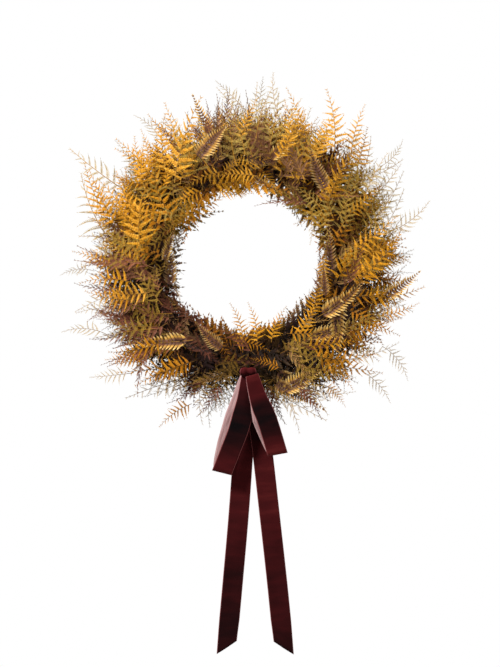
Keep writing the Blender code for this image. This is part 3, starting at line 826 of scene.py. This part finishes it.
# The tones of the shade fronds are painted shade.
SHADE_LENGTHS, SHADE_DEPTHS, PAINTED_SHADE_TONES = (0.08, 0.115), (-0.012, 0.03), (0.06, 0.2)
SHADE_REACH, SHADE_CLEAR, SHADE_NEAREST = -0.02, 0.012, 0.12


def shade(spray, sideways):
    """Adds one broad frond at the back of a spray, dark with painted shade."""
    clock = spray["clock"] + chance.gauss(0, 9)
    signed = (clock + 180) % 360 - 180
    radius = chance.uniform(*(SHADE_INNER_ROOTS if spray["row"] == "inner" else SHADE_ROOTS))
    heading = signed + (chance.choice((-90, 90)) + chance.gauss(0, 15) if sideways else chance.gauss(0, 35))
    length = kept_length(clock, radius, heading, chance.uniform(*SHADE_LENGTHS), SHADE_REACH, SHADE_CLEAR)
    if math.hypot(radius, length) < SHADE_NEAREST or length < SHORTEST:
        return
    forward = chance.uniform(*SHADE_DEPTHS)
    width = length * SHAPE["shade"]
    roll, tone = chance.gauss(0, 10), chance.uniform(*PAINTED_SHADE_TONES)
    frond = frond_copy("shade", clock, radius, forward, heading, length, width, 0, roll, tone)
    spray["copies"].append(frond)


for spray in sprays.values():
    for _ in range(UNDER[spray["kind"]]):
        fill(spray, False)
    for _ in range(OVER[spray["kind"]]):
        fill(spray, True)
    near_bow = apart(spray["clock"], BOW_AT) < BEHIND_BOW_HALF
    for _ in range(SHADE_FRONDS[spray["row"]] + (BEHIND_BOW if near_bow else 0)):
        shade(spray, sideways=near_bow or spray["row"] == "inner")
print("fronds", sum(len(spray["copies"]) for spray in sprays.values()))

# %% [markdown]
# ### Painted light at the edges and painted shade in the depths
# Leaves at the outer edge and the hole's rim are painted lighter, more so at the top, and leaves deep in
# the wreath are painted darker: painted light and painted shade. Neither follows single fronds, so the
# tones are changed leaf by leaf once a spray is joined.

# %% Tone by place and joined sprays
# Painted light at the outer edge and the hole's rim, lighter at the top, and painted shade at the back:
EDGE_PAINTED_LIGHT_TONE, EDGE_PAINTED_LIGHT_UP = 0.62, 0.18  # the tone at the edge, and how much more it is at the top
PAINTED_LIGHT_FROM = 0.225  # painted light starts at this radius
HOLE_RIM, HOLE_LIT_BAND, HOLE_SHARE = 0.155, 0.03, 0.7
EDGE_PAINTED_LIGHT_SHARE = 0.7  # how far a leaf at the very edge has gone to that tone
LIT_FROM_ABOVE = 0.07
PAINTED_SHADE_AT_BACK = 0.16  # how much darker, as painted shade, leaves are that lie at the back instead of at the face
LIGHTEST = 0.98


def paint_light_and_shade_by_place(mesh):
    """Paints light on leaves at the outer edge and the hole's rim, more at the top, and paints shade on
    leaves deep in the wreath.
    """
    spots = mesh_points(mesh) - np.array(RING)
    radius = np.hypot(spots[:, 0], spots[:, 2])
    outward = np.clip((radius - PAINTED_LIGHT_FROM) / (EDGE - PAINTED_LIGHT_FROM), 0, 1)
    inward = np.clip((HOLE_RIM - radius) / HOLE_LIT_BAND, 0, HOLE_SHARE)
    rim = np.maximum(outward, inward)
    behind = np.clip(1 + spots[:, 1] / surface(radius), 0, 1)
    high = spots[:, 2] / radius
    # Painted light: near the edge and the hole's rim a leaf goes towards a light tone, and the top is
    # lighter. Painted shade: leaves at the back are darker.
    kept = 1 - EDGE_PAINTED_LIGHT_SHARE * rim
    added = EDGE_PAINTED_LIGHT_SHARE * rim * (EDGE_PAINTED_LIGHT_TONE + EDGE_PAINTED_LIGHT_UP * high)
    added = added + LIT_FROM_ABOVE * high * (1 - rim) - PAINTED_SHADE_AT_BACK * behind * (1 - rim)
    owner = np.empty(len(mesh.loops), np.int32)
    mesh.loops.foreach_get("vertex_index", owner)
    layer = mesh.uv_layers["OFBake"].uv
    places = np.empty(len(layer) * 2, np.float32)
    layer.foreach_get("vector", places)
    places[::2] = np.clip(places[::2] * kept[owner] + added[owner], 0.0, LIGHTEST)
    layer.foreach_set("vector", places)


total_faces = 0
for name, spray in sprays.items():
    mesh = joined(name + "_fronds", spray["copies"])
    paint_light_and_shade_by_place(mesh)
    mesh.materials.append(LEAVES[spray["kind"]])
    mesh.materials.append(STALK_BROWN)
    piece = bpy.data.objects.new(name + "_fronds", mesh)
    bpy.context.scene.collection.objects.link(piece)
    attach(piece, "wreath")
    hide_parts(name)
    total_faces += len(mesh.polygons)
print("faces of all fronds", total_faces)

# %% [markdown]
# ## The hoop, the vine and the wires
# These keep their measured shapes and only get a finish. Rattan is a pale cane with fine grain along it
# that has gone brown; vine is darker with rough bark; florist's wire is annealed iron, dull and nearly
# black.


# %% Wood and wire
def bark(name, dark, light, grain_mm, bump, roughness):
    """Wood or wire with patches of two colours as wide as the grain, raised by up to 0.4 mm."""
    material, tree, shader = new_material(name, roughness)
    place = node(tree, "ShaderNodeTexCoord").outputs["Object"]
    fine = {"Scale": 1 / (grain_mm * MM), "Detail": 5.0}
    grain = node(tree, "ShaderNodeTexNoise", {"Vector": place}, fine).outputs["Fac"]
    colour = ramp(tree, grain, [(0.3, dark), (0.7, light)])
    relief = node(tree, "ShaderNodeBump", {"Height": grain}, {"Strength": bump, "Distance": 0.4 * MM})
    tree.links.new(colour.outputs["Color"], shader.inputs["Base Color"])
    tree.links.new(relief.outputs["Normal"], shader.inputs["Normal"])
    return material


FINISHES = {
    "rattan_hoop": bark("weathered_rattan_cane", "3A2616", "7A5632", 5, 0.4, 0.7),
    "vine_strand": bark("dried_vine_rough_bark", "24160E", "5A3E28", 3, 0.8, 0.85),
    "wire": bark("annealed_iron_florist_wire", "15120F", "34302B", 4, 0.2, 0.5),
}
FINISHES["wire"].node_tree.nodes["Principled BSDF"].inputs["Metallic"].default_value = 1.0
for name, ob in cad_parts.items():
    for key, finish in FINISHES.items():
        if name.startswith(key) or name.endswith("_" + key):
            for held in ob.material_slots:
                held.material = finish

# %% [markdown]
# ## Velvet ribbon
# The bow is silk-look velvet ribbon: a short pile on the face, a plain pink satin back, and a woven
# selvedge that catches the light as a thin line along both edges. The face is painted nearly black in
# places and wine red in others: painted shade and painted light, as velvet shows where its pile turns its
# side to the light. A mesh attribute says which, from 0 to 1. The weave map runs across the ribbon and
# along it in widths of 37 mm.
# So a scale of 60 makes tufts of 0.6 mm (real pile is finer and would not show), 45 across the satin
# makes threads of 0.8 mm, 2.2 along the velvet makes painted crease shading 17 mm apart, and the selvedge
# takes the last 0.7 mm on both sides.


# %% Ribbon materials
# From painted shade, nearly black, to painted light, wine red.
VELVET_SHADE_TO_LIGHT_COLOURS = [(0.22, "050001"), (0.5, "230304"), (0.8, "3C0A0C"), (1.0, "561A19")]


def pile_velvet():
    """Velvet: black to wine red by painted shade and light, with painted crease shading and a paler selvedge.
    """
    material, tree, shader = new_material(
        "burgundy_velvet_pressed_pile", 0.85, Sheen_Weight=0.12, Sheen_Roughness=0.35, Specular_IOR_Level=0.08
    )
    shader.inputs["Sheen Tint"].default_value = srgb("B04038")
    weave = node(tree, "ShaderNodeUVMap", uv_map="weave").outputs["UV"]
    # The attribute holds painted light and shade, and the noise below adds painted shading of creases.
    lies = node(tree, "ShaderNodeAttribute", attribute_name="pile").outputs["Fac"]
    spread = node(tree, "ShaderNodeMapping", {"Vector": weave}, {"Scale": (0.5, 2.2, 1)}).outputs["Vector"]
    fold = node(tree, "ShaderNodeTexNoise", {"Vector": spread}, {"Scale": 1.0, "Detail": 4.0}).outputs["Fac"]
    lit = node(tree, "ShaderNodeMath", {0: fold, 2: lies}, {1: 0.5}, operation="MULTIPLY_ADD")
    face = ramp(tree, lit.outputs["Value"], VELVET_SHADE_TO_LIGHT_COLOURS)
    across = node(tree, "ShaderNodeSeparateXYZ", {"Vector": weave})
    centred = node(tree, "ShaderNodeMath", {0: across.outputs["X"]}, {1: 0.5}, operation="SUBTRACT")
    from_middle = node(tree, "ShaderNodeMath", {0: centred.outputs["Value"]}, operation="ABSOLUTE")
    edge = ramp(tree, from_middle.outputs["Value"], [(0.465, "000000"), (0.48, "FFFFFF")])
    mixed = node(tree, "ShaderNodeMix", data_type="RGBA", blend_type="MIX")
    tree.links.new(edge.outputs["Color"], mixed.inputs["Factor"])
    tree.links.new(face.outputs["Color"], mixed.inputs["A"])
    mixed.inputs["B"].default_value = srgb("7A4040")
    tree.links.new(mixed.outputs["Result"], shader.inputs["Base Color"])
    tufts = node(tree, "ShaderNodeTexNoise", {"Vector": weave}, {"Scale": 60.0, "Detail": 2.0}).outputs["Fac"]
    relief = node(tree, "ShaderNodeBump", {"Height": tufts}, {"Strength": 0.25, "Distance": 0.3 * MM})
    tree.links.new(relief.outputs["Normal"], shader.inputs["Normal"])
    return material


def satin_back():
    """Satin: long pink threads that run along the ribbon."""
    material, tree, shader = new_material("dusty_pink_satin_weave", 0.42, Specular_IOR_Level=0.5)
    weave = node(tree, "ShaderNodeUVMap", uv_map="weave").outputs["UV"]
    drawn = node(tree, "ShaderNodeMapping", {"Vector": weave}, {"Scale": (45, 1.2, 1)}).outputs["Vector"]
    rib = node(tree, "ShaderNodeTexNoise", {"Vector": drawn}, {"Scale": 1.0, "Detail": 2.0}).outputs["Fac"]
    colour = ramp(tree, rib, [(0.3, "8A6462"), (0.7, "CCA6A4")])
    tree.links.new(colour.outputs["Color"], shader.inputs["Base Color"])
    return material


VELVET, SATIN = pile_velvet(), satin_back()
RIBBON_WIDTH, CLOTH = 0.037, 0.0006

# %% [markdown]
# ### Strips of ribbon
# Every part of the bow is a strip that follows a line. A grid of faces is made flat and each row is moved
# to its place on the line, narrowed where the ribbon is gathered and rippled a little. Solidify then
# gives it the cloth's thickness, with velvet on its face and satin on its back.


# %% Strip function
def blend_line(points, share):
    """A place on a smooth line through a few hand-set points, for a share from 0 to 1."""
    spread = share * (len(points) - 1)
    i = min(int(spread), len(points) - 2)
    f = spread - i
    before, after = points[max(i - 1, 0)], points[min(i + 2, len(points) - 1)]
    return [
        0.5 * (2 * q + (r - p) * f + (2 * p - 5 * q + 4 * r - s) * f * f + (3 * q - p - 3 * r + s) * f ** 3)
        for p, q, r, s in zip(before, points[i], points[i + 1], after)
    ]


def ribbon_strip(
    name, line, rows, body, replaced, flat_length, pile, closed=False, columns=12, pleats=1
):
    """line(share) gives (place, across direction, width, ripple). Pleats is how many ripples lie side by
    side. The painted light and shade of the velvet along the strip is given as (share, 0 dark to 1 lit)."""
    bm = bmesh.new()
    bmesh.ops.create_grid(bm, x_segments=columns, y_segments=rows, size=0.5)
    bm.verts.ensure_lookup_table()
    weave = bm.loops.layers.uv.new("weave")
    for face in bm.faces:
        for loop in face.loops:
            loop[weave].uv = (loop.vert.co.x + 0.5, (loop.vert.co.y + 0.5) * flat_length / RIBBON_WIDTH)
    # Each point gets its painted light and shade, from 0 dark to 1 lit.
    pile_layer = bm.verts.layers.float.new("pile")
    for vert in bm.verts:
        across_share, share = vert.co.x, 0.5 - vert.co.y
        vert[pile_layer] = np.interp(share, *zip(*pile))
        place, across, width, out = line(share)
        ripple = out * math.cos(across_share * 2 * math.pi * pleats)
        vert.co = place + across * (across_share * width) + ripple
    if closed:
        bmesh.ops.remove_doubles(bm, verts=bm.verts, dist=0.01 * MM)
    mesh = finish_mesh(bm, name)
    mesh.materials.append(VELVET)
    mesh.materials.append(SATIN)
    piece = bpy.data.objects.new(name, mesh)
    bpy.context.scene.collection.objects.link(piece)
    thick = piece.modifiers.new("cloth_thickness", "SOLIDIFY")
    thick.thickness, thick.offset, thick.material_offset = CLOTH, -1.0, 1
    for face in mesh.polygons:
        face.use_smooth = True
    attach(piece, body)
    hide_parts(replaced)
    print(name, "faces", len(mesh.polygons))
    return piece


def across_of(a, b):
    """The direction across a ribbon that hangs from a to b, in the plane of the wreath."""
    run = (b - a).normalized()
    return Vector((-run.z, 0, run.x)) if run.z < 0 else Vector((run.z, 0, -run.x))


# %% [markdown]
# ### Tails
# Each tail starts behind the knot, gathered to two thirds of its width, and hangs with a slight lean.
# Behind the loops it lies flat, so that it can swing there, and below them it is waved and rippled. Its
# end is cut on a slant with the longer point outside. The lines are in millimetres from the knot, and the
# last number is the drop they were drawn for.

# %% Tails
TAIL_LINES = {
    "left": [(-2, -4), (-8, -130), (-17, -262), (-28, -390), (-39, -512)],
    "right": [(6, -4), (24, -130), (39, -262), (53, -390), (65, -512)],
}
# Painted light and shade down each tail, 0 dark to 1 lit: dark at the top in the loops' shadow, lit below
# them, and darker again towards the end.
TAIL_PAINTED_LIGHT = {
    "left": [
        (0, 0.2), (0.2, 0.3), (0.36, 0.52), (0.5, 0.48), (0.64, 0.4), (0.72, 0.16), (0.8, 0.3), (0.9, 0.1),
        (1, 0.2),
    ],
    "right": [
        (0, 0.2), (0.2, 0.2), (0.32, 0.56), (0.5, 0.54), (0.62, 0.42), (0.75, 0.32), (0.86, 0.4), (1, 0.12),
    ],
}
TAIL_CUT, CUT_ABOVE = 28 * MM, 0.05  # how slanted the end is, and how far up the slant is felt
TAIL_DROP = 0.512
TAIL_GATHER, TAIL_GATHERED_TO = 0.66, 0.16  # its width at the knot, and the share of it that is gathered
TAIL_FREE_FROM, TAIL_WAVE, TAIL_RIPPLE = 0.36, 1.6 * MM, 0.8 * MM


def tail(side, hand):
    """One tail. Hand is -1 for the left one and 1 for the right one."""
    node_name = f"ribbon_tail_{side}"
    low, high = (Vector(corner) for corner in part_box(node_name))
    depth = (low.y + high.y) / 2
    length = KNOT.z - low.z - TAIL_CUT / 2
    points = [(x * MM, z * MM * length / TAIL_DROP) for x, z in TAIL_LINES[side]]

    def line(share):
        """The tail's middle line for ribbon_strip."""
        x, z = blend_line(points, share)
        x2, z2 = blend_line(points, min(1, share + 0.02))
        x1, z1 = blend_line(points, max(0, share - 0.02))
        across = across_of(Vector((x1, 0, z1)), Vector((x2, 0, z2)))
        gather = TAIL_GATHER + (1 - TAIL_GATHER) * min(1, share / TAIL_GATHERED_TO)
        freed = min(1, max(0, (share - TAIL_FREE_FROM) * 5))
        wave = TAIL_WAVE * math.sin(share * 9 + (0 if hand < 0 else 2)) * freed
        place = KNOT + Vector((x, 0, z))
        place.y = depth + wave
        ripple = -TAIL_RIPPLE * math.sin(share * 14) * freed
        return place, across, RIBBON_WIDTH * gather, Vector((0, ripple, 0))

    piece = ribbon_strip(
        f"velvet_tail_{side}", line, 90, f"tail_{side}", node_name,
        length + TAIL_CUT / 2, TAIL_PAINTED_LIGHT[side],
    )
    # The slanted cut: points near the end move down in step with how far out they are.
    end_z = KNOT.z + points[-1][1]
    centre_x = KNOT.x + points[-1][0]
    for vert in piece.data.vertices:
        near = max(0.0, 1 - (vert.co.z - end_z) / CUT_ABOVE)
        vert.co.z += -min(1, near) * hand * (vert.co.x - centre_x) / RIBBON_WIDTH * TAIL_CUT
    return piece


tail("left", -1)
tail("right", 1)

# %% [markdown]
# ### Loops
# A loop goes down at the front, folds round at the bottom and comes back up behind. Its back strip hangs
# a little further left, so that the pink satin inside it shows beside the front strip. The right loop is
# pressed flat where it comes out over the knot's front, and its back strip is tucked up close behind, so
# that it stays before the left loop.

# %% Loops
LOOP_LINES = {
    "left": [(0, -5), (-5, -53), (-16, -100), (-31, -140), (-47, -181)],
    "right": [(7, -5), (19, -48), (33, -82), (43, -113), (53, -147)],
}
BACK_SHIFT = {"left": -13 * MM, "right": -8 * MM}
OVER_THE_KNOT, PRESSED_BY = {"left": 0.0, "right": 1.0}, 4.4 * MM
# Painted light and shade along each loop, 0 dark to 1 lit: lit at the knot, nearly black down the middle of
# the front, lit again round the fold.
LOOP_PAINTED_LIGHT = {
    "left": [
        (0, 0.5), (0.1, 0.34), (0.16, 0.04), (0.27, 0.0), (0.36, 0.26), (0.42, 0.5), (0.48, 0.62), (0.6, 0.4),
        (1, 0.3),
    ],
    "right": [
        (0, 0.6), (0.1, 0.5), (0.16, 0.1), (0.26, 0.0), (0.36, 0.24), (0.42, 0.55), (0.48, 0.66), (0.6, 0.4),
        (1, 0.4),
    ],
}
FOLD_FROM, FOLD_TAKES = 0.46, 0.08  # the front runs to 0.46 of the strip, the fold to 0.54, then the back
LOOP_GATHER, LOOP_GATHERED_TO, LOOP_PLEAT = 0.62, 0.4, 1.8 * MM


def loop(side):
    """One loop, left or right."""
    node_name = f"ribbon_loop_{side}"
    low, high = (Vector(corner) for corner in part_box(node_name))
    back, front = high.y - 0.6 * MM, low.y + 0.6 * MM
    half = (back - front) / 2
    middle = (back + front) / 2
    points = [(x * MM, z * MM) for x, z in LOOP_LINES[side]]
    fold_drop = half * 0.75
    strip_share = 1 - fold_drop / -points[-1][1]

    def line(share):
        """The loop's middle line for ribbon_strip: down the front, round the fold and up the back."""
        turn = min(1, max(0, (share - FOLD_FROM) / FOLD_TAKES))
        down = min(1, share / FOLD_FROM, (1 - share) / FOLD_FROM)
        x, z = blend_line(points, down * strip_share)
        x1, z1 = blend_line(points, max(0, down * strip_share - 0.03))
        x2, z2 = blend_line(points, min(1, down * strip_share + 0.03))
        run = Vector((x2 - x1, 0, z2 - z1)).normalized()
        across = across_of(Vector((x1, 0, z1)), Vector((x2, 0, z2))).lerp(X, 0.35 * down)
        is_back = share > 0.5
        pressed = OVER_THE_KNOT[side] * min(1, max(0, (0.27 - down) / 0.12))
        tucked = OVER_THE_KNOT[side] * min(1, max(0, (0.85 - down) / 0.3)) if is_back else 0.0
        bulge = 0.3 + 0.7 * math.sin(min(1, down * 1.25) * math.pi / 2)
        open_share = bulge * (1 - 0.7 * max(pressed, tucked))
        depth = middle - PRESSED_BY * pressed - half * open_share * math.cos(turn * math.pi)
        place = KNOT + Vector((x, 0, z)) + run * (fold_drop * math.sin(turn * math.pi))
        place.y = depth
        if is_back:
            aside = 1 - OVER_THE_KNOT[side] * 0.9 * min(1, max(0, (0.55 - down) / 0.25))
            place.x += BACK_SHIFT[side] * math.sin(down * math.pi) ** 0.8 * aside
        gather = LOOP_GATHER + (1 - LOOP_GATHER) * min(1, down / LOOP_GATHERED_TO)
        pleat = Vector((0, -LOOP_PLEAT * (1 - min(1, down / 0.5)) * (1 - 0.6 * pressed), 0))
        return place, across, RIBBON_WIDTH * gather, pleat

    length = -2 * points[-1][1]
    return ribbon_strip(
        f"velvet_loop_{side}", line, 120, f"loop_{side}", node_name,
        length, LOOP_PAINTED_LIGHT[side],
    )


loop("left")
loop("right")

# %% [markdown]
# ### Knot
# The middle is a short piece of the same ribbon wrapped once round the loops and tails. It is squeezed to
# a soft oval and its edges are pulled in, with two soft pleats across it.

# %% Knot
knot_half = (knot_high - knot_low) / 2
# Painted light and shade once round the knot, 0 dark to 1 lit.
KNOT_PAINTED_LIGHT = [(0, 0.5), (0.25, 0.2), (0.5, 0.3), (0.75, 0.7), (1, 0.5)]
PLEAT_MM = 1.6


def knot_line(share):
    """Once round the knot: an oval, narrower above and below, with its pleats deepest before and behind."""
    a = share * 2 * math.pi
    forward, up = -(knot_half.y - 1 * MM) * math.cos(a), (knot_half.z - 0.6 * MM) * math.sin(-a)
    outward = Vector((0, -math.cos(a), -math.sin(a)))
    wide = 2 * knot_half.x * (0.92 + 0.08 * math.cos(2 * a))
    pleat = outward * -PLEAT_MM * MM * (0.35 + 0.65 * abs(math.cos(a)))
    return KNOT + Vector((0, forward, up)), X, wide, pleat


ribbon_strip(
    "velvet_knot", knot_line, 48, "wreath", "ribbon_knot",
    2 * math.pi * math.sqrt((knot_half.y ** 2 + knot_half.z ** 2) / 2),
    KNOT_PAINTED_LIGHT, closed=True, columns=24, pleats=2,
)

# %% [markdown]
# ## Floor and the measured size
# The floor is pale and plain, painted in patches of 25 mm that hardly differ. The box of the measured
# model is printed at the end. The looks may not make the wreath bigger than it is.

# %% Floor
FLOOR_MIDDLE, PATCHES = (0, -0.1, -1.3), 1 / 0.025
bm = bmesh.new()
bmesh.ops.create_grid(bm, x_segments=1, y_segments=1, size=1.0)
bmesh.ops.translate(bm, vec=FLOOR_MIDDLE, verts=bm.verts)
floor = bpy.data.objects.new("studio_floor", finish_mesh(bm, "studio_floor"))
bpy.context.scene.collection.objects.link(floor)
paint, paint_tree, paint_shader = new_material("matt_white_painted_board", 0.9)
paint_place = node(paint_tree, "ShaderNodeTexCoord").outputs["Object"]
paint_noise = node(paint_tree, "ShaderNodeTexNoise", {"Vector": paint_place}, {"Scale": PATCHES})
paint_colour = ramp(paint_tree, paint_noise.outputs["Fac"], [(0.3, "E9E8E6"), (0.7, "F1F0EE")])
paint_tree.links.new(paint_colour.outputs["Color"], paint_shader.inputs["Base Color"])
floor.data.materials.append(paint)

# %% Size of the measured model
print("cad", cad_box)
